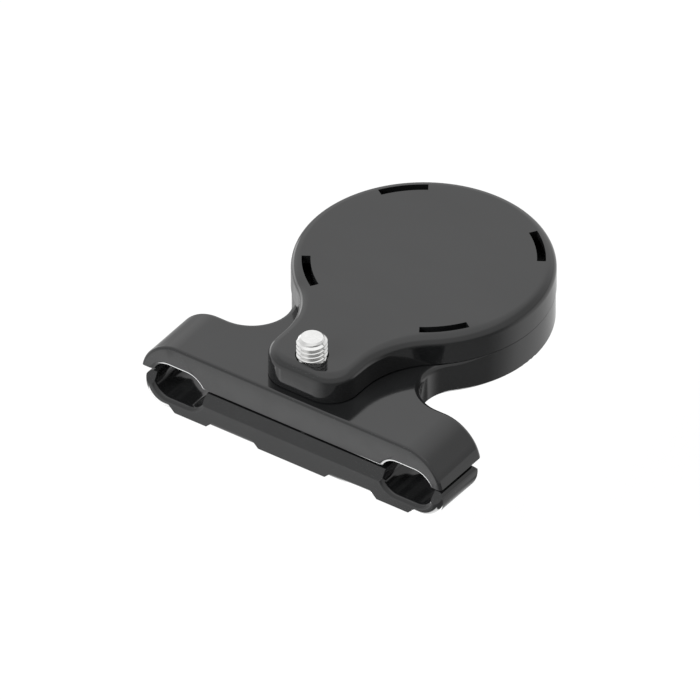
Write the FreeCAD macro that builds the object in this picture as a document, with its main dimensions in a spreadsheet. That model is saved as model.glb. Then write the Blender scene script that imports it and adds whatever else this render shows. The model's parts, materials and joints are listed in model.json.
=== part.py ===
"""Saddle tracker mount: two jaws that clamp a saddle's rails, and a round tray with a snap-on cover.

The origin is on the bolt's axis, at the underside of the upper jaw. X runs along the jaws, Y runs
back to the tray, and Z is up. Lengths are in millimetres.
"""

import FreeCAD, Part
import Sketcher
import math
import os

SIZES = {
    # channels that grip the two rails
    "rail_spacing": 44.0,
    "channel_corner": 3.1,
    "channel_flat": 3.4,
    "arch_rise": 1.53,
    "arch_edge": 0.9,
    "groove_edge": 0.85,
    "jaw_gap": 1.5,
    # upper jaw
    "jaw_lip": 2.1,
    "jaw_depth": 11.4,
    "bar_height": 5.75,
    "bar_end_round": 7.1,
    "bar_edge": 0.5,
    # lower jaw
    "lower_lip": 1.75,
    "lower_drop": 6.85,
    "lower_end_round": 4.0,
    "lower_edge": 1.2,
    "horn_round": 1.0,
    "bevel_rise": 1.7,
    "bevel_run": 1.4,
    "pad_foot": 0.1,
    "pad_slope": 1.45,
    "pad_wall": 1.3,
    "end_pad_inset": 0.75,
    "end_pad_width": 6.05,
    # tracker that the tray holds
    "tracker_radius": 15.95,
    "tracker_height": 8.0,
    "tracker_play": 0.3,
    "tracker_headroom": 0.02,
    # round tray and its neck
    "tray_setback": 9.66,
    "join_step": 0.15,
    "tray_floor": 1.45,
    "tray_foot": 0.4,
    "neck_round": 6.5,
    "neck_edge": 1.0,
    "fade_angle": 20.0,
    "fade_edge": 0.1,
    # ring round the tracker, with snap fingers
    "catch_angle": 90.0,
    "ring_wall": 1.2,
    "ring_gap": 0.43,
    "ring_headroom": 0.3,
    "slit_width": 0.8,
    "slit_angle": 13.5,
    "slit_foot": 1.5,
    "hook_angle": 18.0,
    "hook_play": 0.05,
    "hook_height": 1.5,
    "hook_land": 0.5,
    # cover
    "cover_wall": 1.7,
    "cover_roof": 1.5,
    "cover_edge": 1.7,
    "cover_foot": 0.12,
    "tongue_half": 7.95,
    "tongue_front": 4.2,
    "tongue_corner": 5.0,
    "tongue_blend": 14.0,
    "tongue_wall": 1.6,
    "boss_wall": 1.3,
    "slot_width": 1.42,
    "slot_angle": 24.2,
    "ledge_height": 1.1,
    "ledge_lead": 0.5,
    "snap_play": 0.15,
    # bolt
    "bolt_radius": 2.5,
    "bolt_length": 20.0,
    "bolt_tip": 0.5,
    "bolt_play": 0.17,
    "head_radius": 4.75,
    "head_height": 2.75,
    "head_land": 0.5,
    "head_flat": 2.4,
    "head_crown": 4.0,
    "head_play": 0.35,
    "head_seat": 1.45,
    "key_flats": 3.0,
    "key_depth": 1.6,
    # nut
    "nut_flats": 8.0,
    "nut_height": 4.0,
    "nut_play": 0.05,
    "nut_headroom": 0.2,
    "nut_bevel": 30.0,
    "thread_play": 0.05,
}

FORMULAS = {
    "rail_x": "rail_spacing / 2",
    "half_depth": "jaw_depth / 2",
    "channel_z": "arch_rise - channel_corner",
    "groove_floor": "channel_z - channel_corner",
    "flat_in": "rail_x - channel_flat / 2",
    "flat_out": "rail_x + channel_flat / 2",
    "channel_in": "flat_in - channel_corner",
    "channel_out": "flat_out + channel_corner",
    "jaw_half": "channel_out + jaw_lip",
    "bar_end_x": "jaw_half - sqrt(bar_end_round ^ 2 - (bar_end_round - bar_height) ^ 2)",
    "beyond_end": "jaw_half + 1",
    "above_bar": "bar_height + 1",
    "pocket_radius": "tracker_radius + tracker_play",
    "ring_radius": "pocket_radius + ring_wall",
    "slot_inner": "ring_radius + ring_gap",
    "cavity_radius": "slot_inner + slot_width",
    "cover_radius": "cavity_radius + cover_wall",
    "tray_radius": "cover_radius - join_step",
    "disc_y": "cover_radius + tray_setback",
    "neck_y": "half_depth + neck_round",
    "neck_x": "sqrt((tray_radius + neck_round) ^ 2 - (disc_y - neck_y) ^ 2)",
    "neck_share": "tray_radius / (tray_radius + neck_round)",
    "neck_end_x": "neck_x * neck_share",
    "neck_end_y": "disc_y + (neck_y - disc_y) * neck_share",
    "fade_x": "neck_end_x * cos(fade_angle) - (neck_end_y - disc_y) * sin(fade_angle)",
    "fade_y": "disc_y + neck_end_x * sin(fade_angle) + (neck_end_y - disc_y) * cos(fade_angle)",
    "tray_back": "disc_y + tray_radius",
    "through": "2 * neck_y",
    "cavity_depth": "bar_height - tray_floor",
    "roof_z": "tray_floor + tracker_height + tracker_headroom",
    "cover_top": "roof_z + cover_roof",
    "cover_height": "cover_top - bar_height",
    "ring_top": "roof_z - ring_headroom",
    "ring_height": "ring_top - tray_floor",
    "finger_middle": "ring_radius - ring_wall / 2",
    "hook_radius": "slot_inner - hook_play",
    "hook_z": "ring_top - hook_height",
    "hook_land_z": "hook_z + hook_land",
    "disc_behind": "-disc_y",
    "slit_z": "tray_floor + slit_foot",
    "slit_height": "ring_top - slit_z",
    "slit_half": "slit_width / 2",
    "slit_in": "pocket_radius - slit_width",
    "slit_out": "ring_radius + slit_width",
    "slot_turn": "catch_angle / 2",
    "slit_turn_on": "slot_turn + slit_angle",
    "slit_turn_back": "slot_turn - slit_angle",
    "ledge_z_top": "hook_z - snap_play",
    "ledge_z": "ledge_z_top - ledge_height",
    "ledge_lead_z": "ledge_z + ledge_lead",
    "ledge_lead_x": "slot_inner + ledge_lead",
    "ledge_root": "(cavity_radius + cover_radius) / 2",
    "tongue_y": "-tongue_front",
    "tongue_corner_x": "tongue_half - tongue_corner",
    "tongue_corner_y": "tongue_corner - tongue_front",
    "blend_x": "tongue_half + tongue_blend",
    "blend_y": "disc_y - sqrt((cover_radius + tongue_blend) ^ 2 - blend_x ^ 2)",
    "blend_share": "cover_radius / (cover_radius + tongue_blend)",
    "blend_end_x": "blend_x * blend_share",
    "blend_end_y": "disc_y + (blend_y - disc_y) * blend_share",
    "cover_back": "disc_y + cover_radius",
    "roof_depth": "roof_z - bar_height",
    "core_half": "tongue_half - tongue_wall",
    "core_front": "tongue_wall - tongue_front",
    "core_corner": "tongue_corner - tongue_wall",
    "core_back": "tray_setback",
    "boss_radius": "bolt_hole + boss_wall",
    "slot_in_x": "slot_inner * cos(slot_angle / 2)",
    "slot_in_y": "slot_inner * sin(slot_angle / 2)",
    "slot_out_x": "cavity_radius * cos(slot_angle / 2)",
    "slot_out_y": "cavity_radius * sin(slot_angle / 2)",
    "lower_half": "channel_out + lower_lip",
    "lower_end_x": "lower_half - lower_end_round",
    "lower_end_z": "lower_end_round - lower_drop",
    "lower_top": "-jaw_gap",
    "lower_base": "-lower_drop",
    "horn_x": "lower_half - horn_round",
    "horn_z": "lower_top - horn_round",
    "groove_half": "channel_flat / 2 + sqrt(channel_corner ^ 2 - (channel_z + jaw_gap) ^ 2)",
    "groove_in": "rail_x - groove_half",
    "pad_base": "lower_base - pad_foot",
    "pad_top": "lower_base + lower_edge + pad_foot",
    "pad_half": "seat_radius + pad_wall",
    "pad_top_half": "pad_half + pad_slope",
    "end_pad_in": "groove_in - end_pad_inset",
    "end_pad_out": "end_pad_in + end_pad_width",
    "end_pad_top_in": "end_pad_in - pad_slope",
    "end_pad_top_out": "end_pad_out + pad_slope",
    "bevel_length": "2 * beyond_end",
    "bevel_in": "bevel_run - half_depth",
    "bevel_front": "-half_depth",
    "bevel_low": "lower_top - bevel_rise",
    "seat_radius": "head_radius + head_play",
    "seat_z": "head_seat + pad_base",
    "bolt_hole": "bolt_radius + bolt_play",
    "tip_z": "seat_z + bolt_length",
    "tip_radius": "bolt_radius - bolt_tip",
    "tip_edge_z": "tip_z - bolt_tip",
    "head_land_z": "seat_z - head_land",
    "head_z": "seat_z - head_height",
    "key_side": "key_flats / 2",
    "key_corner": "key_side / cos(30)",
    "nut_side": "nut_flats / 2",
    "nut_corner": "nut_side / cos(30)",
    "nut_room_side": "nut_side + nut_play",
    "nut_room_corner": "nut_room_side / cos(30)",
    "nut_room_depth": "nut_height + nut_headroom",
    "nut_base": "bar_height - nut_room_depth",
    "nut_top": "nut_base + nut_height",
    "nut_bore": "bolt_radius + thread_play",
    "nut_beyond": "nut_corner + 1",
    "nut_bevel_drop": "(nut_beyond - nut_side) * tan(nut_bevel)",
    "nut_bevel_low": "nut_base + nut_bevel_drop",
    "nut_bevel_high": "nut_top - nut_bevel_drop",
}

# points of a sketch line or arc, as a constraint numbers them
START, END, CENTRE = range(1, 4)

# how an arc turns along an outline
LEFT = "left"
RIGHT = "right"

# lengths below this are taken as zero
TINY = 1e-4

doc = FreeCAD.newDocument("saddle_tracker_mount")
sheet = doc.addObject("Spreadsheet::Sheet", "Sizes")


def fill_sheet():
    """Writes the sizes and the formulas that follow from them, one to a row."""
    for row, (name, number) in enumerate(SIZES.items(), start=1):
        sheet.set("A%d" % row, name)
        sheet.set("B%d" % row, str(number))
        sheet.setAlias("B%d" % row, name)
    for row, (name, formula) in enumerate(FORMULAS.items(), start=1):
        sheet.set("C%d" % row, name)
        sheet.set("D%d" % row, "=" + formula)
        sheet.setAlias("D%d" % row, name)
    doc.recompute()


def value(name):
    """Number of a size, which may have a minus before its name, or 0."""
    if name == "0":
        return 0.0
    if name.startswith("-"):
        return -float(sheet.get(name[1:]))
    return float(sheet.get(name))


def tie(item, key, name):
    """Binds a property of an object to a size."""
    if name != "0":
        item.setExpression(key, name.replace("-", "-Sizes.") if name[0] == "-" else "Sizes." + name)


def new_body(name):
    """Empty body."""
    return doc.addObject("PartDesign::Body", name)


def plane_of(body, role):
    """Origin plane of a body."""
    return next(feature for feature in body.Origin.OriginFeatures if feature.Role == role)


def new_sketch(body, name, role, across="0", height="0", axis=(0, 0, 1), turn="0"):
    """Sketch on an origin plane, moved in its own Y and Z directions and turned about an axis."""
    sketch = body.newObject("Sketcher::SketchObject", name)
    sketch.AttachmentSupport = [(plane_of(body, role), "")]
    sketch.MapMode = "FlatFace"
    rotation = FreeCAD.Rotation(FreeCAD.Vector(*axis), value(turn))
    place = FreeCAD.Placement(FreeCAD.Vector(0, value(across), value(height)), rotation)
    sketch.AttachmentOffset = place
    tie(sketch, "AttachmentOffset.Base.y", across)
    tie(sketch, "AttachmentOffset.Base.z", height)
    tie(sketch, "AttachmentOffset.Rotation.Angle", turn)
    doc.recompute()
    return sketch


def fix(sketch, kind, size, *parts):
    """Adds a constraint with a value and ties it to a size."""
    index = sketch.addConstraint(Sketcher.Constraint(kind, *parts, value(size)))
    tie(sketch, "Constraints[%d]" % index, size)


def draw_circle(sketch, radius):
    """Circle about the sketch's origin."""
    upright = FreeCAD.Vector(0, 0, 1)
    index = sketch.addGeometry(Part.Circle(FreeCAD.Vector(0, 0, 0), upright, value(radius)), False)
    sketch.addConstraint(Sketcher.Constraint("Coincident", index, CENTRE, -1, START))
    fix(sketch, "Radius", radius, index)


def middle_of_arc(first, last, bend, radius):
    """Point halfway along the shorter arc between two points."""
    chord = last - first
    side = FreeCAD.Vector(-chord.y, chord.x, 0).normalize() * (1 if bend == LEFT else -1)
    reach = math.sqrt(max(radius ** 2 - chord.Length ** 2 / 4, 0.0))
    return (first + last) * 0.5 + side * (reach - radius)


def draw_outline(sketch, corners):
    """Closed chain of lines and arcs through corners.

    A corner is (x, y) where a line leaves it and (x, y, bend, radius) where an arc leaves it. All but
    the bend are names of sizes.
    """
    points = [FreeCAD.Vector(value(corner[0]), value(corner[1]), 0) for corner in corners]
    pieces = []
    for corner, first, last in zip(corners, points, points[1:] + points[:1]):
        if len(corner) == 2:
            index = sketch.addGeometry(Part.LineSegment(first, last), False)
            pieces.append((index, START, END))
        else:
            middle = middle_of_arc(first, last, corner[2], value(corner[3]))
            index = sketch.addGeometry(Part.Arc(first, middle, last), False)
            # an arc in a sketch always starts at its clockwise end
            pieces.append((index, START, END) if corner[2] == LEFT else (index, END, START))
    for (index, _, tail), (following, head, _) in zip(pieces, pieces[1:] + pieces[:1]):
        sketch.addConstraint(Sketcher.Constraint("Coincident", index, tail, following, head))
    for (index, head, _), corner in zip(pieces, corners):
        fix(sketch, "DistanceX", corner[0], index, head)
        fix(sketch, "DistanceY", corner[1], index, head)
        if len(corner) == 4:
            fix(sketch, "Radius", corner[3], index)


def mirror_corners(corners):
    """Adds the left half to the right half of an outline that runs from front to back."""
    both = list(corners)
    for corner, before in zip(reversed(corners), list(reversed(corners))[1:] + [()]):
        if corner[0] != "0":
            both.append(("-" + corner[0], corner[1]) + tuple(before[2:]))
    return both


def add_feature(body, kind, name, profile, length, **properties):
    """Pad or pocket on a sketch, with its length tied to a size."""
    before = body.Shape.Volume if body.Tip else 0.0
    feature = body.newObject("PartDesign::" + kind, name)
    feature.Profile = profile
    for key, content in properties.items():
        setattr(feature, key, content)
    feature.Length = value(length)
    tie(feature, "Length", length)
    doc.recompute()
    grown = body.Shape.Volume - before
    if grown * (1 if kind == "Pad" else -1) <= 0:
        raise RuntimeError(name + " changes nothing")
    return feature


def turn_profile(body, name, profile, angle=None):
    """Solid of revolution about the sketch's upright axis, all round or over an angle about the sketch."""
    feature = body.newObject("PartDesign::Revolution", name)
    feature.Profile = profile
    feature.ReferenceAxis = (profile, ["V_Axis"])
    feature.Angle = 360.0
    if angle:
        feature.Angle = value(angle)
        feature.Midplane = True
        tie(feature, "Angle", angle)
    doc.recompute()
    return feature


def repeat_round(body, name, features, sketch):
    """Copies of features around the sketch's normal."""
    pattern = body.newObject("PartDesign::PolarPattern", name)
    pattern.Originals = features
    pattern.Axis = (sketch, ["N_Axis"])
    pattern.Angle = 360
    pattern.Occurrences = round(360 / value("catch_angle"))
    body.Tip = pattern
    doc.recompute()


def repeat_left(body, name, features, role="YZ_Plane"):
    """Mirror image of features, in the body's middle plane."""
    copy = body.newObject("PartDesign::Mirrored", name)
    copy.Originals = features
    copy.MirrorPlane = (plane_of(body, role), [""])
    body.Tip = copy
    doc.recompute()


def names_of_edges(shape, wanted):
    """Names of the edges that a test picks."""
    return ["Edge%d" % i for i, edge in enumerate(shape.Edges, start=1) if wanted(edge, edge.BoundBox)]


def soften(body, name, size, wanted, kind="Fillet"):
    """Fillet or chamfer on the edges that a test picks."""
    names = names_of_edges(body.Shape, wanted)
    if not names:
        raise RuntimeError(name + " finds no edge")
    base = body.Tip
    feature = body.newObject("PartDesign::" + kind, name)
    feature.Base = (base, names)
    key = "Radius" if kind == "Fillet" else "Size"
    setattr(feature, key, value(size))
    tie(feature, key, size)
    doc.recompute()
    return feature


def near(one, other):
    """True if two numbers are equal but for rounding."""
    return abs(one - other) < TINY


def flat_at(low, high, place):
    """True if a range is a single place."""
    return near(low, place) and near(high, place)


def draw_channel(sketch):
    """Section of a rail channel: a slot with round ends that both jaws share."""
    draw_outline(sketch, [
        ("flat_in", "groove_floor"),
        ("flat_out", "groove_floor", LEFT, "channel_corner"),
        ("channel_out", "channel_z", LEFT, "channel_corner"),
        ("flat_out", "arch_rise"),
        ("flat_in", "arch_rise", LEFT, "channel_corner"),
        ("channel_in", "channel_z", LEFT, "channel_corner"),
    ])


def draw_hexagon(sketch, corner, side):
    """Hexagon with two corners on the X axis and flats that face along Y."""
    half = corner + "_half"
    draw_outline(sketch, [
        (corner, "0"),
        (half, side),
        ("-" + half, side),
        ("-" + corner, "0"),
        ("-" + half, "-" + side),
        (half, "-" + side),
    ])


def bore(body, name, height, radius="bolt_hole", depth=None, upward=True):
    """Round hole on the bolt's axis, right through or to a depth."""
    sketch = new_sketch(body, name + "_circle", "XY_Plane", height=height)
    draw_circle(sketch, radius)
    if depth:
        return add_feature(body, "Pocket", name, sketch, depth, Reversed=upward)
    return add_feature(body, "Pocket", name, sketch, "cover_top", Type="ThroughAll", Midplane=True)


def edge_radii(edge, tray_centre):
    """Radii at the two ends of a top back edge of the neck and tray.

    The rounding is full along the jaw and the neck, and fades to almost nothing a little way round
    the tray.
    """
    full, small = value("neck_edge"), value("fade_edge")
    ends = (edge.valueAt(edge.FirstParameter), edge.valueAt(edge.LastParameter))
    reach = value("tray_radius")
    on_tray = all(near((end - tray_centre).Length, reach) for end in ends)
    if not on_tray:
        return full, full
    return tuple(small if end.y > value("neck_end_y") + TINY else full for end in ends)


def build_tray_base():
    """Upper jaw, neck and round tray in one moulding."""
    body = new_body("tray_base_body")
    plan = new_sketch(body, "base_plan", "XY_Plane")
    draw_outline(plan, mirror_corners([
        ("jaw_half", "-half_depth"),
        ("jaw_half", "half_depth"),
        ("neck_x", "half_depth", RIGHT, "neck_round"),
        ("neck_end_x", "neck_end_y", LEFT, "tray_radius"),
        ("fade_x", "fade_y", LEFT, "tray_radius"),
        ("0", "tray_back", LEFT, "tray_radius"),
    ]))
    add_feature(body, "Pad", "base_block", plan, "bar_height")

    ends = new_sketch(body, "bar_end_section", "XZ_Plane")
    draw_outline(ends, [
        ("bar_end_x", "bar_height", RIGHT, "bar_end_round"),
        ("jaw_half", "0"),
        ("beyond_end", "0"),
        ("beyond_end", "above_bar"),
        ("bar_end_x", "above_bar"),
    ])
    end_cut = add_feature(body, "Pocket", "bar_end", ends, "through", Midplane=True)
    repeat_left(body, "bar_end_left", [end_cut])

    section = new_sketch(body, "arch_section", "XZ_Plane")
    draw_channel(section)
    arch = add_feature(body, "Pocket", "arch", section, "through", Midplane=True)
    repeat_left(body, "arch_left", [arch])

    def on_arch_mouth(edge, box):
        """Curved edges of the arches on the front and back."""
        middle = edge.CenterOfMass
        below = box.ZMax < value("arch_rise") + TINY and not flat_at(box.ZMin, box.ZMax, 0.0)
        beside = value("channel_in") - TINY < abs(middle.x) < value("channel_out") + TINY
        at_face = box.YMax < TINY - value("half_depth") or box.YMin > value("half_depth") - TINY
        return below and beside and at_face and box.XLength > TINY

    soften(body, "arch_mouth", "arch_edge", on_arch_mouth)

    def on_front_edge(edge, box):
        """Top front edge of the bar, with its round ends."""
        at_front = flat_at(box.YMin, box.YMax, -value("half_depth"))
        return at_front and box.ZMax > value("bar_height") - TINY

    soften(body, "bar_front", "bar_edge", on_front_edge)

    hollow = new_sketch(body, "cavity_circle", "XY_Plane", across="disc_y", height="bar_height")
    draw_circle(hollow, "cavity_radius")
    add_feature(body, "Pocket", "cavity", hollow, "cavity_depth")

    ring = new_sketch(body, "ring_circles", "XY_Plane", across="disc_y", height="tray_floor")
    draw_circle(ring, "ring_radius")
    draw_circle(ring, "pocket_radius")
    add_feature(body, "Pad", "ring", ring, "ring_height")

    upright = (0, 1, 0)
    barb = new_sketch(body, "hook_section", "XZ_Plane", height="disc_behind", axis=upright, turn="slot_turn")
    draw_outline(barb, [
        ("finger_middle", "hook_z"),
        ("hook_radius", "hook_z"),
        ("hook_radius", "hook_land_z"),
        ("ring_radius", "ring_top"),
        ("finger_middle", "ring_top"),
    ])
    hook = turn_profile(body, "hook", barb, "hook_angle")
    repeat_round(body, "hooks", [hook], ring)

    slits = []
    for name, turn in (("slit_on", "slit_turn_on"), ("slit_back", "slit_turn_back")):
        slit = new_sketch(body, name + "_plan", "XY_Plane", across="disc_y", height="slit_z", turn=turn)
        draw_outline(slit, [
            ("slit_in", "-slit_half"),
            ("slit_out", "-slit_half"),
            ("slit_out", "slit_half"),
            ("slit_in", "slit_half"),
        ])
        slits.append(add_feature(body, "Pocket", name, slit, "slit_height", Reversed=True))
    repeat_round(body, "slits", slits, ring)

    bore(body, "base_bolt_hole", "0")
    room = new_sketch(body, "nut_room_plan", "XY_Plane", height="bar_height")
    draw_hexagon(room, "nut_room_corner", "nut_room_side")
    add_feature(body, "Pocket", "nut_room", room, "nut_room_depth")

    def on_tray_foot(edge, box):
        """Bottom edge of the tray and its neck."""
        at_foot = flat_at(box.ZMin, box.ZMax, 0.0)
        behind = box.YMax > value("half_depth") + 1 and abs(edge.CenterOfMass.x) > 1
        return at_foot and behind and edge.Length > value("neck_round")

    soften(body, "tray_foot_edge", "tray_foot", on_tray_foot)

    # the rounding of the back edge changes its radius along the edge
    rounded = doc.addObject("Part::Fillet", "tray_base")
    rounded.Base = body
    tray_centre = FreeCAD.Vector(0, value("disc_y"), value("bar_height"))
    reach = value("cavity_radius")
    chain = []
    for index, edge in enumerate(body.Shape.Edges, start=1):
        box = edge.BoundBox
        at_back = flat_at(box.YMin, box.YMax, value("half_depth")) and box.ZMax > value("arch_rise") + 1
        on_top = flat_at(box.ZMin, box.ZMax, value("bar_height"))
        outside = (edge.CenterOfMass - tray_centre).Length > reach / 4
        ends_outside = (edge.valueAt(edge.FirstParameter) - tray_centre).Length > reach + TINY
        behind = on_top and box.YMax > value("half_depth") + 1 and ends_outside and outside
        if at_back or behind:
            chain.append((index,) + edge_radii(edge, tray_centre))
    rounded.Edges = chain
    doc.recompute()
    return rounded


def build_tray_cover():
    """Keyhole-shaped lid over the tray and the bolt."""
    body = new_body("tray_cover")
    plan = new_sketch(body, "cover_plan", "XY_Plane", height="bar_height")
    draw_outline(plan, mirror_corners([
        ("tongue_corner_x", "tongue_y", LEFT, "tongue_corner"),
        ("tongue_half", "tongue_corner_y"),
        ("tongue_half", "blend_y", RIGHT, "tongue_blend"),
        ("blend_end_x", "blend_end_y", LEFT, "cover_radius"),
        ("0", "cover_back", LEFT, "cover_radius"),
    ]))
    add_feature(body, "Pad", "cover_block", plan, "cover_height")

    def on_top(edge, box):
        """Outer edge of the top."""
        return flat_at(box.ZMin, box.ZMax, value("cover_top"))

    soften(body, "cover_top_edge", "cover_edge", on_top)

    def on_foot(edge, box):
        """Outer edge of the bottom."""
        return flat_at(box.ZMin, box.ZMax, value("bar_height"))

    soften(body, "cover_foot_edge", "cover_foot", on_foot, "Chamfer")

    hollow = new_sketch(body, "lid_circle", "XY_Plane", across="disc_y", height="bar_height")
    draw_circle(hollow, "cavity_radius")
    add_feature(body, "Pocket", "lid_cavity", hollow, "roof_depth", Reversed=True)

    core = new_sketch(body, "core_plan", "XY_Plane", height="bar_height")
    draw_outline(core, mirror_corners([
        ("tongue_corner_x", "core_front", LEFT, "core_corner"),
        ("core_half", "tongue_corner_y"),
        ("core_half", "core_back"),
    ]))
    add_feature(body, "Pocket", "tongue_core", core, "roof_depth", Reversed=True)

    boss = new_sketch(body, "boss_circle", "XY_Plane", height="bar_height")
    draw_circle(boss, "boss_radius")
    add_feature(body, "Pad", "bolt_boss", boss, "roof_depth")
    bore(body, "cover_bolt_hole", "0")

    opening = new_sketch(body, "slot_plan", "XY_Plane", across="disc_y", height="roof_z", turn="slot_turn")
    draw_outline(opening, [
        ("slot_in_x", "-slot_in_y"),
        ("slot_out_x", "-slot_out_y", LEFT, "cavity_radius"),
        ("slot_out_x", "slot_out_y"),
        ("slot_in_x", "slot_in_y", RIGHT, "slot_inner"),
    ])
    slot = add_feature(body, "Pocket", "slot", opening, "cover_roof", Reversed=True)
    repeat_round(body, "slots", [slot], hollow)

    upright = (0, 1, 0)
    step = new_sketch(body, "ledge_section", "XZ_Plane", height="disc_behind", axis=upright, turn="slot_turn")
    draw_outline(step, [
        ("ledge_lead_x", "ledge_z"),
        ("ledge_root", "ledge_z"),
        ("ledge_root", "ledge_z_top"),
        ("slot_inner", "ledge_z_top"),
        ("slot_inner", "ledge_lead_z"),
    ])
    ledge = turn_profile(body, "ledge", step, "slot_angle")
    repeat_round(body, "ledges", [ledge], hollow)
    return body


def build_lower_jaw():
    """Jaw under the rails, which the bolt pulls up."""
    body = new_body("lower_jaw")
    section = new_sketch(body, "lower_section", "XZ_Plane")
    draw_outline(section, [
        ("-lower_end_x", "lower_base"),
        ("lower_end_x", "lower_base", LEFT, "lower_end_round"),
        ("lower_half", "lower_end_z"),
        ("lower_half", "lower_top"),
        ("-lower_half", "lower_top"),
        ("-lower_half", "lower_end_z", LEFT, "lower_end_round"),
    ])
    add_feature(body, "Pad", "lower_block", section, "jaw_depth", Midplane=True)

    def on_rim(edge, box):
        """Front and back edges of the ends and the bottom."""
        half = value("half_depth")
        at_face = flat_at(box.YMin, box.YMax, -half) or flat_at(box.YMin, box.YMax, half)
        return at_face and not flat_at(box.ZMin, box.ZMax, value("lower_top"))

    soften(body, "lower_rim", "lower_edge", on_rim)

    feet = new_sketch(body, "pad_section", "XZ_Plane")
    draw_outline(feet, [
        ("-pad_half", "pad_base"),
        ("pad_half", "pad_base"),
        ("pad_top_half", "pad_top"),
        ("-pad_top_half", "pad_top"),
    ])
    add_feature(body, "Pad", "middle_pad", feet, "jaw_depth", Midplane=True)
    end_foot = new_sketch(body, "end_pad_section", "XZ_Plane")
    draw_outline(end_foot, [
        ("end_pad_in", "pad_base"),
        ("end_pad_out", "pad_base"),
        ("end_pad_top_out", "pad_top"),
        ("end_pad_top_in", "pad_top"),
    ])
    end_pad = add_feature(body, "Pad", "end_pad", end_foot, "jaw_depth", Midplane=True)
    repeat_left(body, "end_pad_left", [end_pad])

    wedge = new_sketch(body, "bevel_section", "YZ_Plane")
    draw_outline(wedge, [
        ("bevel_front", "bevel_low"),
        ("bevel_in", "lower_top"),
        ("bevel_front", "lower_top"),
    ])
    bevel = add_feature(body, "Pocket", "bevel", wedge, "bevel_length", Midplane=True)
    repeat_left(body, "bevel_back", [bevel], "XZ_Plane")

    corner = new_sketch(body, "horn_section", "XZ_Plane")
    draw_outline(corner, [
        ("horn_x", "lower_top", RIGHT, "horn_round"),
        ("lower_half", "horn_z"),
        ("beyond_end", "horn_z"),
        ("beyond_end", "0"),
        ("horn_x", "0"),
    ])
    horn = add_feature(body, "Pocket", "horn", corner, "through", Midplane=True)
    repeat_left(body, "horn_left", [horn])

    opening = new_sketch(body, "groove_section", "XZ_Plane")
    draw_channel(opening)
    groove = add_feature(body, "Pocket", "groove", opening, "through", Midplane=True)
    repeat_left(body, "groove_left", [groove])

    def on_groove_mouth(edge, box):
        """Edges of the grooves on the front and back, below the bevels."""
        middle = edge.CenterOfMass
        beside = value("channel_in") - TINY < abs(middle.x) < value("channel_out") + TINY
        at_face = abs(middle.y) > value("half_depth") - TINY
        above = box.ZMin > value("groove_floor") - TINY and not flat_at(box.ZMin, box.ZMax, value("bevel_low"))
        return beside and at_face and above and box.XLength > TINY

    soften(body, "groove_mouth", "groove_edge", on_groove_mouth)

    bore(body, "jaw_bolt_hole", "0")
    bore(body, "head_room", "pad_base", "seat_radius", "head_seat")
    return body


def build_clamp_bolt():
    """Round-headed screw that enters from below, with a hexagon socket in its head."""
    body = new_body("clamp_bolt")
    half = new_sketch(body, "bolt_section", "XZ_Plane")
    draw_outline(half, [
        ("0", "head_z"),
        ("head_flat", "head_z", LEFT, "head_crown"),
        ("head_radius", "head_land_z"),
        ("head_radius", "seat_z"),
        ("bolt_radius", "seat_z"),
        ("bolt_radius", "tip_edge_z"),
        ("tip_radius", "tip_z"),
        ("0", "tip_z"),
    ])
    turn_profile(body, "bolt_turned", half)
    key = new_sketch(body, "key_plan", "XY_Plane", height="head_z")
    draw_hexagon(key, "key_corner", "key_side")
    add_feature(body, "Pocket", "key_socket", key, "key_depth", Reversed=True)
    return body


def build_clamp_nut():
    """Hexagon nut that sits in the upper jaw under the cover."""
    body = new_body("clamp_nut")
    plan = new_sketch(body, "nut_plan", "XY_Plane", height="nut_base")
    draw_hexagon(plan, "nut_corner", "nut_side")
    add_feature(body, "Pad", "nut_block", plan, "nut_height")
    bore(body, "nut_hole", "0", "nut_bore")
    for name, face, slope in (("top", "nut_top", "nut_bevel_high"), ("base", "nut_base", "nut_bevel_low")):
        corner = new_sketch(body, "nut_%s_section" % name, "XZ_Plane")
        draw_outline(corner, [
            ("nut_side", face),
            ("nut_beyond", slope),
            ("nut_beyond", face),
        ])
        groove = body.newObject("PartDesign::Groove", "nut_%s_bevel" % name)
        groove.Profile = corner
        groove.ReferenceAxis = (corner, ["V_Axis"])
        groove.Angle = 360.0
        doc.recompute()
    return body


for prefix in ("key_corner", "nut_corner", "nut_room_corner"):
    FORMULAS[prefix + "_half"] = prefix + " / 2"

fill_sheet()
builders = {
    "tray_base": build_tray_base,
    "tray_cover": build_tray_cover,
    "lower_jaw": build_lower_jaw,
    "clamp_bolt": build_clamp_bolt,
    "clamp_nut": build_clamp_nut,
}
pieces = {name: make() for name, make in builders.items()}
doc.recompute()

for item in doc.Objects:
    if "Invalid" in item.State or "Error" in item.State:
        raise RuntimeError("%s is in state %s" % (item.Name, item.State))
for name, piece in pieces.items():
    if piece.Shape.isNull() or not piece.Shape.isValid() or len(piece.Shape.Solids) != 1:
        raise RuntimeError(name + " is not one valid solid")

os.makedirs("parts", exist_ok=True)
for name, piece in pieces.items():
    piece.Label = name
    piece.Shape.exportStep("parts/%s.step" % name)
    box = piece.Shape.BoundBox
    print(name, round(piece.Shape.Volume, 2), box, len(piece.Shape.Faces))
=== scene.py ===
"""Looks of a clamp that carries a round coin tracker on two saddle rails.

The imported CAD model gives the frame. Its three mouldings are shown by merged copies whose
shading follows their real surfaces, the screw by a threaded one, and the nut by itself.
Everything is in metres, in the frame of the CAD model: X runs from rail to rail, the screw
stands on the origin along Z, and the round tray lies on the +Y side.
"""

from __future__ import annotations

import json
import logging
import math
from collections.abc import Mapping, Sequence
from dataclasses import dataclass
from typing import Any

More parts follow.
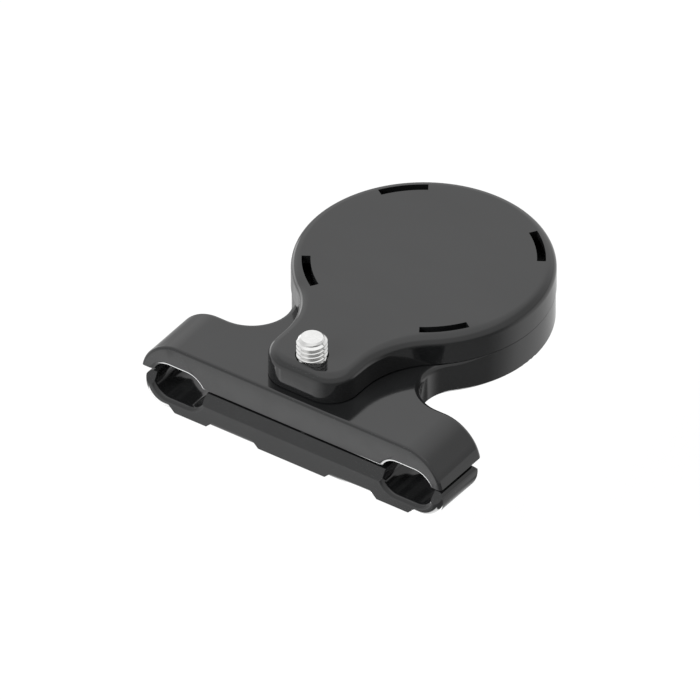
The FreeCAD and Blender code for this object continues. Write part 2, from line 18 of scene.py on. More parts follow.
import bmesh
import bpy
import numpy as np
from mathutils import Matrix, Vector

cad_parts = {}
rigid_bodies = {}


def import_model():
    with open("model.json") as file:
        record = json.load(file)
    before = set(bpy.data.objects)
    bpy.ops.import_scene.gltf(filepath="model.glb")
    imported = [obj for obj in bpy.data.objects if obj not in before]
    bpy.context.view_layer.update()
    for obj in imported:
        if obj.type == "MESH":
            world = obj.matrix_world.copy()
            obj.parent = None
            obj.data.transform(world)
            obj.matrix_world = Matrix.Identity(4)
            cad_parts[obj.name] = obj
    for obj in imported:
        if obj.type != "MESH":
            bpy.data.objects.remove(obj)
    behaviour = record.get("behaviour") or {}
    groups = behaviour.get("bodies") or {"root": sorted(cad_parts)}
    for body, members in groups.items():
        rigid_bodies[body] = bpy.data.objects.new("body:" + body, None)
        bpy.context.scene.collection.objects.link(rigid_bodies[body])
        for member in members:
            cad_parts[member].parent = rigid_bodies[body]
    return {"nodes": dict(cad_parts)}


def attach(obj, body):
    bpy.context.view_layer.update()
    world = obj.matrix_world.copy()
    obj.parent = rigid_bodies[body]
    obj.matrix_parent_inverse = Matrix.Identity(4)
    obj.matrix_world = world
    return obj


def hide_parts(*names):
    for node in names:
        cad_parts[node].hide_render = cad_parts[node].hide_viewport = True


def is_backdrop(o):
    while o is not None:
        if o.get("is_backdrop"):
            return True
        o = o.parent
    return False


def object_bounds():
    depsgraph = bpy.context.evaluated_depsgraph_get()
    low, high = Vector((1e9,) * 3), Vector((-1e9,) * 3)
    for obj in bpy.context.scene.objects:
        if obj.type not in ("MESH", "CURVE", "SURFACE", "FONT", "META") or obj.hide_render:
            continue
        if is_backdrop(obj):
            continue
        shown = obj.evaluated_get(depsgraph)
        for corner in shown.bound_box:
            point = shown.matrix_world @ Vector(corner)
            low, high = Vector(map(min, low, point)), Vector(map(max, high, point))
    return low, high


log = logging.getLogger("saddle_clamp")

Colour = tuple[float, float, float]
Triple = tuple[float, float, float]
# Where a smooth step is 0 and where it is 1.
Ramp = tuple[float, float]

MM = 0.001
WHITE: Colour = (1.0, 1.0, 1.0)
BLACK: Colour = (0.0, 0.0, 0.0)
# Height at which the cover meets the tray.
COVER_FOOT = 5.75 * MM
# Points of the screw's mesh nearer to each other than this become one.
MERGE_DISTANCE = 0.0001 * MM
# Edges of the screw's mesh shorter than this are taken out.
SLIVER_LENGTH = 0.00001 * MM
# Numbers of the Mix node's sockets for colours, which share their names with others.
MIX_SHARE, MIX_FIRST, MIX_SECOND, MIX_COLOUR = 0, 6, 7, 2


# Shader building


class Wire:
    """One output of a shader node, with arithmetic that adds Math nodes."""

    def __init__(self, sheet: NodeSheet, socket: bpy.types.NodeSocket | None) -> None:
        """Keeps the socket and the node tree that it lies in."""
        self.sheet = sheet
        self.socket = socket

    def _math(self, operation: str, *terms: Any) -> Wire:
        """Value of a Math node with these wires or numbers as its inputs."""
        return self.sheet.add("ShaderNodeMath", {"operation": operation}, dict(enumerate(terms)))

    def __add__(self, other: Any) -> Wire:
        """Sum with a wire or number."""
        return self._math("ADD", self, other)

    __radd__ = __add__

    def __sub__(self, other: Any) -> Wire:
        """This less a wire or number."""
        return self._math("SUBTRACT", self, other)

    def __rsub__(self, other: Any) -> Wire:
        """A number less this."""
        return self._math("SUBTRACT", other, self)

    def __mul__(self, other: Any) -> Wire:
        """Product with a wire or number."""
        return self._math("MULTIPLY", self, other)

    __rmul__ = __mul__

    def between(self, low: float, high: float) -> Wire:
        """Smooth step from 0 at low to 1 at high.

        Args:
            low: Value at which the step starts.
            high: Value at which it ends.

        Returns:
            The step, from 0 to 1.
        """
        return self.sheet.add(
            "ShaderNodeMapRange",
            {"interpolation_type": "SMOOTHSTEP"},
            {"Value": self, "From Min": low, "From Max": high},
        )

    def clipped(self) -> Wire:
        """This value held between 0 and 1."""
        return self.sheet.add("ShaderNodeClamp", {}, {"Value": self})


@dataclass(frozen=True)
class Mottle:
    """Soft irregular blotches: width of one, number of finer layers and their strength."""

    size: float
    detail: float
    roughness: float = 0.5


class NodeSheet:
    """Node tree of one material or of the world, filled through a single method."""

    def __init__(self, tree: bpy.types.NodeTree) -> None:
        """Empties the tree and keeps it."""
        tree.nodes.clear()
        self.tree = tree

    def add(
        self,
        kind: str,
        settings: Mapping[str, Any],
        inputs: Mapping[Any, Any],
        output: Any = 0,
    ) -> Wire:
        """Adds a node.

        Args:
            kind: Blender's name of the node's type.
            settings: Its own settings, set first.
            inputs: Values or wires by the name or number of the socket.
            output: Name or number of the output wanted.

        Returns:
            That output as a wire.
        """
        node = self.tree.nodes.new(kind)
        for name, setting in settings.items():
            setattr(node, name, setting)
        for name, given in inputs.items():
            socket = node.inputs[name]
            if isinstance(given, Wire):
                self.tree.links.new(given.socket, socket)
            elif isinstance(given, tuple) and len(given) == 3 and socket.type == "RGBA":
                socket.default_value = (*given, 1.0)
            else:
                socket.default_value = given
        return Wire(self, node.outputs[output] if node.outputs else None)

    def place(self) -> Wire:
        """Object coordinates of the surface point."""
        return self.add("ShaderNodeTexCoord", {}, {}, "Object")

    def stretched(self, place: Wire, scale: Triple) -> Wire:
        """Coordinates multiplied by factors along the axes."""
        return self.add("ShaderNodeMapping", {}, {"Vector": place, "Scale": scale})

    def noise(self, place: Wire, mottle: Mottle) -> Wire:
        """Soft three-dimensional noise.

        Args:
            place: Coordinates that it reads, in metres.
            mottle: Its blotches.

        Returns:
            Noise from 0 to 1 around one half.
        """
        return self.add(
            "ShaderNodeTexNoise",
            {"noise_dimensions": "3D"},
            {
                "Vector": place,
                "Scale": 1.0 / mottle.size,
                "Detail": mottle.detail,
                "Roughness": mottle.roughness,
            },
        )

    def blend(self, share: Wire, first: Colour, second: Colour) -> Wire:
        """Mixes two colours.

        Args:
            share: Part of the second colour, from 0 to 1.
            first: Colour at 0.
            second: Colour at 1.

        Returns:
            The mixed colour.
        """
        return self.add(
            "ShaderNodeMix",
            {"data_type": "RGBA"},
            {MIX_SHARE: share, MIX_FIRST: first, MIX_SECOND: second},
            MIX_COLOUR,
        )

    def relief(self, height: Wire, depth: float, under: Wire | None = None) -> Wire:
        """Bump from a height field.

        Args:
            height: Height from 0 to 1.
            depth: Height difference in metres that 1 stands for.
            under: Normal of a relief below this one.

        Returns:
            The changed normal.
        """
        inputs = {"Height": height, "Strength": 1.0, "Distance": depth}
        if under is not None:
            inputs["Normal"] = under
        return self.add("ShaderNodeBump", {}, inputs)

    def seen_share(self) -> Wire:
        """Tells rays that show a surface from rays that light matt ones.

        Returns:
            1 for rays from the camera, off gloss and through glass, and 0 for the others.
        """
        camera = self.add("ShaderNodeLightPath", {}, {}, "Is Camera Ray")
        path = camera.socket.node.outputs
        seen = camera + Wire(self, path["Is Glossy Ray"]) + Wire(self, path["Is Transmission Ray"])
        return seen.clipped()

    def surface(self, inputs: Mapping[str, Any]) -> Wire:
        """Principled shader with these inputs."""
        return self.add("ShaderNodeBsdfPrincipled", {}, inputs)

    def mixed(self, share: Wire, first: Wire, second: Wire) -> Wire:
        """Shader that goes from the first to the second as the share goes from 0 to 1."""
        return self.add("ShaderNodeMixShader", {}, {0: share, 1: first, 2: second})

    def close(self, surface: Wire) -> None:
        """Joins a finished shader to the output."""
        self.add("ShaderNodeOutputMaterial", {}, {"Surface": surface})


def new_material(name: str) -> tuple[bpy.types.Material, NodeSheet]:
    """Starts a material with an empty node tree.

    Args:
        name: The material's name.

    Returns:
        The material and the sheet that fills it.
    """
    material = bpy.data.materials.new(name)
    material.use_nodes = True
    return material, NodeSheet(material.node_tree)


# Finishes


@dataclass(frozen=True)
class BlackMoulding:
    """Glossy black plastic out of a polished tool.

    Colour drifts a little along the flow of the melt, the gloss is uneven in faint clouds,
    and the surface has the slight waviness and fine grain of a real moulding. Where a piece
    lies flush on another, shade is painted along its last edge over the joint, which is made
    dull and dark.
    """

    name: str = "black_moulding"
    deep: Colour = (0.0078, 0.0081, 0.0084)
    pale: Colour = (0.0104, 0.0108, 0.0112)
    index: float = 1.66
    flow: Mottle = Mottle(11.0 * MM, 3.0)
    flow_stretch: Triple = (0.45, 1.0, 1.6)
    flow_share: float = 0.75
    tone_ramp: Ramp = (0.36, 0.64)
    speck: Mottle = Mottle(0.22 * MM, 1.0)
    speck_gloss: float = 0.012
    cloud: Mottle = Mottle(3.2 * MM, 4.0, 0.6)
    cloud_ramp: Ramp = (0.3, 0.7)
    gloss_low: float = 0.055
    gloss_high: float = 0.105
    wave: Mottle = Mottle(4.5 * MM, 1.0)
    wave_depth: float = 0.0045 * MM
    grain_depth: float = 0.0004 * MM
    joint_height: float | None = None
    # Width and strength of the painted shade in the joint, and the dull surface it is painted with.
    joint_shade_width: float = 0.26 * MM
    joint_shade_share: float = 0.9
    joint_roughness: float = 0.9
    joint_gloss: float = 0.1

    def material(self) -> bpy.types.Material:
        """Builds the material.

        Returns:
            The finished material.
        """
        material, sheet = new_material(self.name)
        place = sheet.place()
        flow = sheet.noise(sheet.stretched(place, self.flow_stretch), self.flow)
        speck = sheet.noise(place, self.speck)
        tone = (flow * self.flow_share + speck * (1.0 - self.flow_share)).between(*self.tone_ramp)
        cloud = sheet.noise(place, self.cloud).between(*self.cloud_ramp)
        rough = self.gloss_low + cloud * (self.gloss_high - self.gloss_low) + speck * self.speck_gloss
        wave = sheet.relief(sheet.noise(place, self.wave), self.wave_depth)
        shown = sheet.surface(
            {
                "Base Color": sheet.blend(tone, self.deep, self.pale),
                "Roughness": rough,
                "IOR": self.index,
                "Normal": sheet.relief(speck, self.grain_depth, wave),
            }
        )
        # Painted shade in the joint: a band over the cover's foot is mixed towards a dull, dark surface.
        if self.joint_height is not None:
            height = sheet.add("ShaderNodeSeparateXYZ", {}, {"Vector": place}, "Z")
            top = self.joint_height + self.joint_shade_width
            above = height.between(top - self.joint_shade_width / 2, top)
            dull = sheet.surface(
                {
                    "Base Color": self.deep,
                    "Roughness": self.joint_roughness,
                    "Specular IOR Level": self.joint_gloss,
                }
            )
            shown = sheet.mixed((1.0 - above) * self.joint_shade_share, shown, dull)
        sheet.close(shown)
        return material


@dataclass(frozen=True)
class Stainless:
    """Bright stainless steel with the fine marks that rolling and turning leave."""

    name: str = "bright_stainless"
    bright: Colour = (0.93, 0.93, 0.92)
    dull: Colour = (0.86, 0.86, 0.85)
    gloss_low: float = 0.14
    gloss_high: float = 0.22
    marks: Mottle = Mottle(0.10 * MM, 2.0)
    marks_stretch: Triple = (0.25, 0.25, 2.2)
    marks_depth: float = 0.0002 * MM
    cloud: Mottle = Mottle(1.4 * MM, 3.0)
    tone_cloud: float = 0.6
    tone_ramp: Ramp = (0.35, 0.65)
    gloss_cloud: float = 0.5

    def material(self) -> bpy.types.Material:
        """Builds the material.

        Returns:
            The finished material.
        """
        material, sheet = new_material(self.name)
        place = sheet.place()
        marks = sheet.noise(sheet.stretched(place, self.marks_stretch), self.marks)
        cloud = sheet.noise(place, self.cloud)
        tone = (cloud * self.tone_cloud + marks * (1.0 - self.tone_cloud)).between(*self.tone_ramp)
        gloss = marks * (1.0 - self.gloss_cloud) + cloud * self.gloss_cloud
        sheet.close(
            sheet.surface(
                {
                    "Base Color": sheet.blend(tone, self.dull, self.bright),
                    "Roughness": self.gloss_low + gloss * (self.gloss_high - self.gloss_low),
                    "Metallic": 1.0,
                    "Normal": sheet.relief(marks, self.marks_depth),
                }
            )
        )
        return material


# Meshes


def mesh_object(name: str, mesh: bpy.types.Mesh, smooth_angle: float = 30.0) -> bpy.types.Object:
    """Puts a mesh into the scene, shaded smooth up to an angle.

    Args:
        name: Name of the object.
        mesh: Its mesh, already in place.
        smooth_angle: Edges steeper than this many degrees stay sharp.

    Returns:
        The object, at the origin.
    """
    mesh.polygons.foreach_set("use_smooth", np.ones(len(mesh.polygons), dtype=bool))
    mesh.set_sharp_from_angle(angle=math.radians(smooth_angle))
    mesh.update()
    piece = bpy.data.objects.new(name, mesh)
    bpy.context.scene.collection.objects.link(piece)
    return piece


def grid_mesh(name: str, points: np.ndarray) -> bpy.types.Mesh:
    """Open surface over a grid of points.

    Each quad joins a point, the next one of its row, and the same two of the next row.

    Args:
        name: Name of the mesh.
        points: The points, rows by columns by three.

    Returns:
        The mesh.
    """
    rows, columns = points.shape[:2]
    index = np.arange(rows * columns).reshape(rows, columns)
    quads = np.stack([index[:-1, :-1], index[:-1, 1:], index[1:, 1:], index[1:, :-1]], axis=-1)
    mesh = bpy.data.meshes.new(name)
    mesh.from_pydata(points.reshape(-1, 3).tolist(), [], quads.reshape(-1, 4).tolist())
    return mesh


def rings_mesh(name: str, across: np.ndarray, along: np.ndarray, height: np.ndarray) -> bpy.types.Mesh:
    """Closed surface from a stack of rings about Z, with a pole at either end.

    Point (row, column) lies at (across, along, height). Neighbouring rows are joined by
    quads that go once round, and the first and last rows are closed by fans to the mean of
    their points. Points that fall together are merged, and the faces turned outwards.

    Args:
        name: Name of the mesh.
        across: X of the points, rows by columns.
        along: Y of the points.
        height: Z of the points.

    Returns:
        The mesh.
    """
    rows, columns = across.shape
    ring = np.stack([across, along, height], axis=-1)
    points = np.concatenate([ring.reshape(-1, 3), ring[:1].mean(axis=1), ring[-1:].mean(axis=1)])
    index = np.arange(rows * columns).reshape(rows, columns)
    beside = np.roll(index, -1, axis=1)
    quads = np.stack([index[:-1], beside[:-1], beside[1:], index[1:]], axis=-1).reshape(-1, 4)
    first = np.stack([beside[0], index[0], np.full(columns, rows * columns)], axis=-1)
    last = np.stack([index[-1], beside[-1], np.full(columns, rows * columns + 1)], axis=-1)
    mesh = bpy.data.meshes.new(name)
    mesh.from_pydata(points.tolist(), [], quads.tolist() + first.tolist() + last.tolist())
    work = bmesh.new()
    work.from_mesh(mesh)
    bmesh.ops.remove_doubles(work, verts=work.verts, dist=MERGE_DISTANCE)
    bmesh.ops.dissolve_degenerate(work, edges=work.edges, dist=SLIVER_LENGTH)
    bmesh.ops.recalc_face_normals(work, faces=work.faces)
    work.to_mesh(mesh)
    work.free()
    return mesh


def ease(place: np.ndarray, ramp: Ramp) -> np.ndarray:
    """Smooth step along a ramp, which may rise or fall.

    The part of the way along the ramp, held between 0 and 1, goes through 3t^2 - 2t^3.

    Args:
        place: Where the step is read.
        ramp: Place at which it is 0 and place at which it is 1.

    Returns:
        The step at each place.
    """
    start, end = ramp
    part = np.clip((place - start) / (end - start), 0.0, 1.0)
    return part * part * (3.0 - 2.0 * part)


# The clamp's pieces


@dataclass
class Moulding:
    """One of the plastic mouldings, shown by a merged copy of its CAD node."""

    node: str
    body: str
    finish: bpy.types.Material
    merge: float = 0.0005 * MM
    smooth_angle: float = 26.0
    flat_weight: int = 80

    def build(self, nodes: Mapping[str, bpy.types.Object]) -> bpy.types.Object:
        """Copies the node, merges its loose triangles and gives large faces their own normal.

        Args:
            nodes: The CAD nodes by name.

        Returns:
            The shown piece.
        """
        work = bmesh.new()
        work.from_mesh(nodes[self.node].data)
        bmesh.ops.remove_doubles(work, verts=work.verts, dist=self.merge)
        mesh = bpy.data.meshes.new(self.node + "_skin")
        work.to_mesh(mesh)
        work.free()
        if "custom_normal" in mesh.attributes:
            mesh.attributes.remove(mesh.attributes["custom_normal"])
        piece = mesh_object(self.node + "_skin", mesh, self.smooth_angle)
        even = piece.modifiers.new("even_faces", "WEIGHTED_NORMAL")
        even.mode = "FACE_AREA"
        even.weight = self.flat_weight
        even.keep_sharp = True
        mesh.materials.clear()
        mesh.materials.append(self.finish)
        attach(piece, self.body)
        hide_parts(self.node)
        return piece


@dataclass
class ClampScrew:
    """The M5 screw: a cut thread, a round crowned head and a hexagon socket."""

    finish: bpy.types.Material
    major: float = 2.48 * MM
    minor: float = 2.02 * MM
    pitch: float = 0.8 * MM
    tip: float = 14.5 * MM
    tip_bevel: float = 0.7 * MM
    seat: float = -5.5 * MM
    runout: float = 1.2 * MM
    runout_power: float = 0.6
    # Places over one pitch, and how much of the thread's depth is cut there.
    profile: Sequence[tuple[float, float]] = (
        (0.0, 0.0),
        (0.05, 0.0),
        (0.085, 0.06),
        (0.22, 0.5),
        (0.355, 0.94),
        (0.39, 1.0),
        (0.61, 1.0),
        (0.645, 0.94),
        (0.78, 0.5),
        (0.915, 0.06),
        (0.95, 0.0),
    )
    head_radius: float = 4.75 * MM
    head_low: float = -8.25 * MM
    head_land: float = 0.5 * MM
    head_flat: float = 2.4 * MM
    crown_power: float = 1.7
    crown_points: int = 13
    neck_share: float = 1.02
    edge: float = 0.08 * MM
    key_half: float = 1.5 * MM
    key_depth: float = 1.6 * MM
    key_centre: float = 0.3
    # The socket's eased mouth: outwards from its wall and up from its face, in edges.
    mouth: Sequence[tuple[float, float]] = ((0.0, 2.0), (0.4, 0.6), (1.5, 0.0))
    columns: int = 144
    smooth_angle: float = 32.0

    def _thread_rows(self, turn: np.ndarray) -> tuple[np.ndarray, np.ndarray]:
        """Radius and height of the thread.

        A row follows the helix: its height is its place in the pitch plus the part of a turn,
        times the pitch. The profile over one pitch is a flat crest, a straight flank, a flat
        root and a straight flank, with eased corners. It is held under a cone at the tip, and
        swells to the plain shank where it runs out over the head. Heights are held between
        the seat and the tip.

        Args:
            turn: Angle of each column from 0 to one turn.

        Returns:
            Radius and height, rows by columns.
        """
        place, cut = np.array(self.profile).T
        turns = math.ceil((self.tip - self.seat) / self.pitch) + 1
        step = (np.arange(turns)[:, None] + place).reshape(-1, 1)
        radius = self.major - (self.major - self.minor) * np.tile(cut, turns).reshape(-1, 1)
        height = self.seat + self.pitch * (step - 1.0 + turn[None, :] / (2 * math.pi))
        height = np.clip(height, self.seat, self.tip)
        cone = self.major - self.tip_bevel + (self.tip - height)
        fade = np.clip(1.0 - (height - self.seat) / self.runout, 0.0, 1.0)
        shank = self.minor + (self.major - self.minor) * fade**self.runout_power
        return np.minimum(np.maximum(radius, shank), cone), height

    def _head_rows(self, turn: np.ndarray) -> tuple[np.ndarray, np.ndarray]:
        """Radius and height of the head, from the socket's floor out to the seat.

        The socket's radius is its half width over the cosine of the angle from the middle
        of the nearest flat. The crown's height over its flat face is a power of the part of
        the way from there to the rim, so that it leaves the face level.

        Args:
            turn: Angle of each column.

        Returns:
            Radius and height, rows by columns.
        """
        key = self.key_half / np.cos(np.mod(turn, math.pi / 3) - math.pi / 6)
        floor = self.head_low + self.key_depth
        rim = self.seat - self.head_land
        crown = np.linspace(0.0, 1.0, self.crown_points)
        crown_r = self.head_flat + (self.head_radius - self.edge - self.head_flat) * crown
        crown_z = self.head_low + (rim - self.head_low) * crown**self.crown_power
        rows = [
            (self.key_centre * key, floor),
            (key - self.edge, floor),
            (key, floor - self.edge),
            *((key + out * self.edge, self.head_low + up * self.edge) for out, up in self.mouth),
            ((key + self.head_flat) / 2, self.head_low),
            *zip(crown_r, crown_z),
            (self.head_radius, rim + self.edge),
            (self.head_radius, self.seat - self.edge),
            (self.head_radius - self.edge, self.seat),
            (self.neck_share * self.major, self.seat),
        ]
        radius, height = ([np.broadcast_to(v, turn.shape) for v in part] for part in zip(*rows))
        return np.stack(radius), np.stack(height)

    def build(self) -> bpy.types.Object:
        """Joins head and thread into one closed surface that replaces the plain CAD screw.

        Returns:
            The shown screw.
        """
        turn = np.linspace(0.0, 2 * math.pi, self.columns, endpoint=False)
        head_r, head_z = self._head_rows(turn)
        thread_r, thread_z = self._thread_rows(turn)
        radius = np.concatenate([head_r, thread_r])
        height = np.concatenate([head_z, thread_z])
        mesh = rings_mesh("clamp_screw", radius * np.cos(turn), radius * np.sin(turn), height)
        piece = mesh_object("clamp_screw", mesh, self.smooth_angle)
        mesh.materials.append(self.finish)
        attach(piece, "bolt")
        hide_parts("clamp_bolt")
        return piece


# The studio


@dataclass(frozen=True)
class SoftLamp:
    """A round lamp: the way to it, its distance and size, and its share of full light."""

    name: str
    way: Triple
    distance: float
    size: float
    share: float


@dataclass
class Studio:
    """Pale floor, white surroundings, soft lamps and the camera of the photograph."""

    azimuth: float = 35.131
    elevation: float = 37.274
    pixels_per_mm: float = 6.337
    picture: float = 700.0
    aim_right: float = 6.003 * MM
    aim_up: float = 9.460 * MM
    distance: float = 0.4
    nearest: float = 0.01
    furthest: float = 20.0
    floor_height: float = -40.0 * MM
    floor_half: float = 3.0
    floor_lines: int = 7
    floor_glow: float = 1.04
    floor_share: float = 0.92
    paper_deep: Colour = (0.86, 0.86, 0.86)
    paper_pale: Colour = (0.88, 0.88, 0.88)
    fibre: Mottle = Mottle(6.0 * MM, 4.0)
    sky_fill: float = 0.35
    lamps: Sequence[SoftLamp] = (
        SoftLamp("key_lamp", (-0.35, -0.75, 0.56), 0.8, 0.5, 1.15),
        SoftLamp("top_lamp", (-0.15, 0.35, 0.92), 0.8, 0.6, 0.35),
    )

    def _axes(self) -> tuple[Vector, Vector, Vector]:
        """Directions to the camera's right, up and back.

        Returns:
            The three unit vectors.
        """
        a, e = math.radians(self.azimuth), math.radians(self.elevation)
        back = Vector((math.sin(a) * math.cos(e), -math.cos(a) * math.cos(e), math.sin(e)))
        right = Vector((math.cos(a), math.sin(a), 0.0))
        return right, back.cross(right), back

    def set_camera(self) -> None:
        """Places a parallel-view camera that frames the picture as the photograph does."""
        right, up, back = self._axes()
        data = bpy.data.cameras.new("camera")
        data.type = "ORTHO"
        data.ortho_scale = self.picture / self.pixels_per_mm * MM
        data.clip_start = self.nearest
        data.clip_end = self.furthest
        camera = bpy.data.objects.new("camera", data)
        bpy.context.scene.collection.objects.link(camera)
        camera.location = right * self.aim_right + up * self.aim_up + back * self.distance
        camera.rotation_mode = "QUATERNION"
        camera.rotation_quaternion = back.to_track_quat("Z", "Y")
        bpy.context.scene.camera = camera

    def set_lamps(self, target: Vector) -> None:
        """Hangs the soft lamps.

        A lamp's power is its share of full light times the square of pi times its distance,
        which gives a matt white surface that faces it that share of white.

        Args:
            target: Point that the lamps face.
        """
        for soft in self.lamps:
            data = bpy.data.lights.new(soft.name, "AREA")
            data.shape = "DISK"
            data.size = soft.size
            data.energy = soft.share * (math.pi * soft.distance) ** 2
            lamp = bpy.data.objects.new(soft.name, data)
            bpy.context.scene.collection.objects.link(lamp)
            towards = Vector(soft.way).normalized()
            lamp.location = target + towards * soft.distance
            lamp.rotation_mode = "QUATERNION"
            lamp.rotation_quaternion = towards.to_track_quat("Z", "Y")
            lamp.visible_camera = False
            lamp.visible_glossy = False

    def set_world(self) -> None:
        """White to the camera, to reflections and through glass, and a dimmer fill light."""
        world = bpy.data.worlds.new("studio_air")
        world.use_nodes = True
        bpy.context.scene.world = world
        sheet = NodeSheet(world.node_tree)
        strength = self.sky_fill + sheet.seen_share() * (1.0 - self.sky_fill)
        air = sheet.add("ShaderNodeBackground", {}, {"Color": WHITE, "Strength": strength})
        sheet.add("ShaderNodeOutputWorld", {}, {"Surface": air})

    def _paper(self) -> bpy.types.Material:
        """Pale paper that looks white and keeps shadows, clear from below.

        Returns:
            The floor's material.
        """
        material, sheet = new_material("pale_paper")
        fibre = sheet.noise(sheet.place(), self.fibre)
        colour = sheet.blend(fibre, self.paper_deep, self.paper_pale)
        paper = sheet.add("ShaderNodeBsdfDiffuse", {}, {"Color": colour})
        glow = sheet.add("ShaderNodeEmission", {}, {"Color": WHITE, "Strength": self.floor_glow})
        shown = sheet.mixed(sheet.seen_share() * self.floor_share, paper, glow)
        clear = sheet.add("ShaderNodeBsdfTransparent", {}, {})
        behind = sheet.add("ShaderNodeNewGeometry", {}, {}, "Backfacing")
        sheet.close(sheet.mixed(behind, shown, clear))
        return material

    def lay_floor(self) -> bpy.types.Object:
        """Lays the floor, a level grid well under the clamp, which hangs on its saddle.

        Returns:
            The floor.
        """
        line = np.linspace(-self.floor_half, self.floor_half, self.floor_lines)
        x, y = np.meshgrid(line, line)
        mesh = grid_mesh("studio_floor", np.stack([x, y, np.full_like(x, self.floor_height)], axis=-1))
        floor = mesh_object("studio_floor", mesh)
        mesh.materials.append(self._paper())
        floor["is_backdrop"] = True
        return floor


@dataclass(frozen=True)
class Patch:
    """A rectangle of its own brightness on the reflected table, with soft edges."""

    glow: float
    left: float
    right: float
    front: float
    rear: float
    soft: float

    def over(self, glow: np.ndarray, x: np.ndarray, y: np.ndarray) -> np.ndarray:
        """Paints the patch over the table.

        The patch's share is the product of a smooth step over each edge, as wide as the
        softness on both sides of it.

        Args:
            glow: Brightness of the table.
            x: Place from side to side.
            y: Place from front to back.

        Returns:
            The new brightness.
        """
        soft = self.soft
        share = ease(x, (self.left - soft, self.left + soft))
        share = share * ease(x, (self.right + soft, self.right - soft))
        share = share * ease(y, (self.front - soft, self.front + soft))
        share = share * ease(y, (self.rear + soft, self.rear - soft))
        return glow + (self.glow - glow) * share


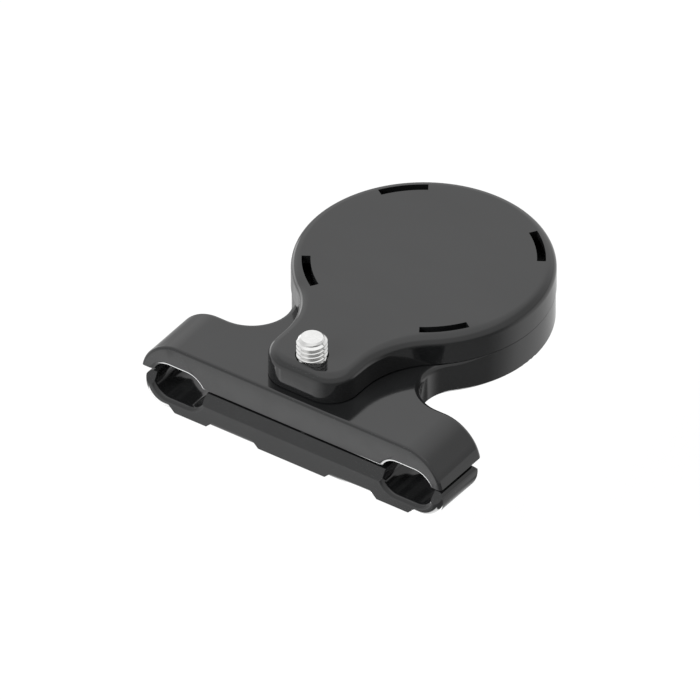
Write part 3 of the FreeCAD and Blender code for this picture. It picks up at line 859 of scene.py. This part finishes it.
@dataclass
class LightTent:
    """Painted screens that reflections alone see: a dome, a table underneath and a card.

    Azimuths run from +X towards +Y, and angles are in degrees.
    """

    radius: float = 0.9
    dome_foot: float = -3.0
    dome_lines: tuple[int, int] = (48, 121)
    sides: float = 0.64
    back: float = 0.97
    back_azimuth: float = 130.0
    back_ramp: Ramp = (85.0, 20.0)
    horizon_share: float = 0.8
    horizon_ramp: Ramp = (0.0, 16.0)
    dusk_loss: float = 0.3
    dusk_azimuth: float = 138.0
    dusk_ramp: Ramp = (24.0, 10.0)
    dusk_rise: Ramp = (30.0, -5.0)
    overhead: float = 1.0
    overhead_ramp: Ramp = (38.0, 62.0)
    table_height: float = -39.0 * MM
    table_half: float = 150.0 * MM
    table_step: float = 2.0 * MM
    table_lines: int = 12
    table_glow: float = 0.76
    table_centre: tuple[float, float] = (0.0, 15.0 * MM)
    shade_glow: float = 0.25
    shade_ramps: tuple[Ramp, Ramp] = ((-108.0, -66.0), (40.0, 4.0))
    corner_glow: float = 0.46
    corner_ramps: tuple[Ramp, Ramp] = ((100.0, 116.0), (158.0, 148.0))
    corner_reach: Ramp = (52.0 * MM, 66.0 * MM)
    strip: Patch = Patch(1.2, -66.0 * MM, 0.0, -53.8 * MM, -46.8 * MM, 1.5 * MM)
    left_panel: Patch = Patch(7.0, -62.0 * MM, -39.5 * MM, -28.0 * MM, 2.0 * MM, 2.0 * MM)
    right_panel: Patch = Patch(7.0, -7.0 * MM, 42.0 * MM, -28.0 * MM, 22.0 * MM, 2.0 * MM)
    # Painted shadow of the clamp on the reflected floor, under the tray's back.
    shadow_patch: Patch = Patch(0.15, -42.0 * MM, 46.0 * MM, 34.0 * MM, 67.0 * MM, 5.0 * MM)
    card_glow: float = 1.6
    card_distance: float = 200.0 * MM
    card_lines: tuple[int, int] = (12, 31)
    card_start: Ramp = (148.5, 152.5)
    card_end: Ramp = (184.0, 176.0)
    card_top: Ramp = (22.0 * MM, 12.0 * MM)

    def _screen(self, name: str, points: np.ndarray, glow: np.ndarray) -> bpy.types.Object:
        """Makes a screen that only reflections see.

        Args:
            name: Name of the screen.
            points: Grid of points, rows by columns by three.
            glow: Brightness at each point, rows by columns.

        Returns:
            The screen.
        """
        mesh = grid_mesh(name, points)
        mesh.attributes.new("glow", "FLOAT", "POINT").data.foreach_set("value", glow.ravel())
        screen = mesh_object(name, mesh)
        material, sheet = new_material(name + "_paint")
        colour = sheet.add("ShaderNodeAttribute", {"attribute_name": "glow"}, {}, "Fac")
        sheet.close(
            sheet.surface(
                {
                    "Base Color": BLACK,
                    "Specular IOR Level": 0.0,
                    "Emission Color": colour,
                    "Emission Strength": 1.0,
                }
            )
        )
        material.cycles.emission_sampling = "NONE"
        mesh.materials.append(material)
        screen.visible_camera = False
        screen.visible_diffuse = False
        screen.visible_transmission = False
        screen.visible_shadow = False
        screen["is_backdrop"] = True
        return screen

    def _dome(self) -> bpy.types.Object:
        """Sets up the dome, a grid over the angle up and the azimuth.

        Its sides are dimmer than its back, to which they ease. Both are dimmer towards the
        horizon, and dimmer still to the left and back, low down. Higher up, all of it eases
        to the brightness overhead.

        Returns:
            The screen.
        """
        rows, columns = self.dome_lines
        azimuth, rise = np.meshgrid(
            np.linspace(-180.0, 180.0, columns),
            np.linspace(self.dome_foot, 90.0, rows),
        )
        apart = np.abs(np.mod(azimuth - self.back_azimuth + 180.0, 360.0) - 180.0)
        glow = self.sides + (self.back - self.sides) * ease(apart, self.back_ramp)
        glow = glow * (self.horizon_share + (1.0 - self.horizon_share) * ease(rise, self.horizon_ramp))
        dusk = ease(np.abs(azimuth - self.dusk_azimuth), self.dusk_ramp) * ease(rise, self.dusk_rise)
        glow = glow * (1.0 - self.dusk_loss * dusk)
        glow = glow + (self.overhead - glow) * ease(rise, self.overhead_ramp)
        around, up = np.radians(azimuth), np.radians(rise)
        way = np.stack([np.cos(around) * np.cos(up), np.sin(around) * np.cos(up), np.sin(up)], axis=-1)
        return self._screen("reflected_dome", self.radius * way, glow)

    def _table(self) -> bpy.types.Object:
        """Sets up the table, a level grid that is finer in its middle.

        Two sectors seen from the table's centre ease to a shade: one to the right and front,
        and, further out, one to the left and back. A narrow strip in front and two panels
        under the clamp's ends are brighter, and a dark patch under the tray's back is the
        clamp's painted shadow on the floor.

        Returns:
            The screen.
        """
        fine = np.arange(-self.table_half, self.table_half + self.table_step / 2, self.table_step)
        coarse = np.linspace(self.table_half, self.radius, self.table_lines)[1:]
        line = np.concatenate([-coarse[::-1], fine, coarse])
        x, y = np.meshgrid(line, line)
        across, along = x - self.table_centre[0], y - self.table_centre[1]
        azimuth = np.degrees(np.arctan2(along, across))
        shade, corner = (
            ease(azimuth, start) * ease(azimuth, end)
            for start, end in (self.shade_ramps, self.corner_ramps)
        )
        corner = corner * ease(np.hypot(across, along), self.corner_reach)
        glow = self.table_glow - (self.table_glow - self.shade_glow) * shade
        glow = glow + (self.corner_glow - glow) * corner
        for patch in (self.strip, self.left_panel, self.right_panel, self.shadow_patch):
            glow = patch.over(glow, x, y)
        points = np.stack([x, y, np.full_like(x, self.table_height)], axis=-1)
        return self._screen("reflected_table", points, glow)

    def _card(self) -> bpy.types.Object:
        """Sets up the card, an upright arc round the table's centre, to the left.

        Its brightness falls to the table's at both ends and at the top, by smooth steps
        that are multiplied.

        Returns:
            The screen.
        """
        rows, columns = self.card_lines
        azimuth, height = np.meshgrid(
            np.linspace(self.card_start[0], self.card_end[0], columns),
            np.linspace(self.table_height, self.card_top[0], rows),
        )
        around = np.radians(azimuth)
        across = self.table_centre[0] + self.card_distance * np.cos(around)
        along = self.table_centre[1] + self.card_distance * np.sin(around)
        lit = ease(azimuth, self.card_start) * ease(azimuth, self.card_end) * ease(height, self.card_top)
        glow = self.table_glow + (self.card_glow - self.table_glow) * lit
        return self._screen("reflected_card", np.stack([across, along, height], axis=-1), glow)

    def build(self) -> list[bpy.types.Object]:
        """Sets up the three screens and lists them."""
        return [self._dome(), self._table(), self._card()]


# Putting it together


def main() -> None:
    """Builds the studio, then dresses the mouldings, the screw and the nut."""
    logging.basicConfig(level=logging.INFO, format="%(name)s: %(message)s")
    scene = bpy.context.scene
    for thing in list(scene.objects):
        bpy.data.objects.remove(thing)
    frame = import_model()
    cad_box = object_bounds()
    scene.view_settings.view_transform = "Standard"

    studio = Studio()
    studio.set_camera()
    studio.set_world()
    studio.set_lamps((cad_box[0] + cad_box[1]) / 2)
    pieces = [studio.lay_floor(), *LightTent().build()]

    plastic = BlackMoulding().material()
    cover_plastic = BlackMoulding(name="black_cover_moulding", joint_height=COVER_FOOT).material()
    steel = Stainless().material()
    mouldings = (
        Moulding("tray_base", "base", plastic),
        Moulding("tray_cover", "cover", cover_plastic),
        Moulding("lower_jaw", "jaw", plastic),
    )
    pieces += [moulding.build(frame["nodes"]) for moulding in mouldings]
    pieces.append(ClampScrew(steel).build())
    nut = frame["nodes"]["clamp_nut"]
    nut.data.materials.clear()
    nut.data.materials.append(steel)
    pieces.append(nut)
    for piece in pieces:
        finish = piece.data.materials[0]
        log.info("%s: %d faces in %s", piece.name, len(piece.data.polygons), finish.name)


if __name__ == "__main__":
    main()
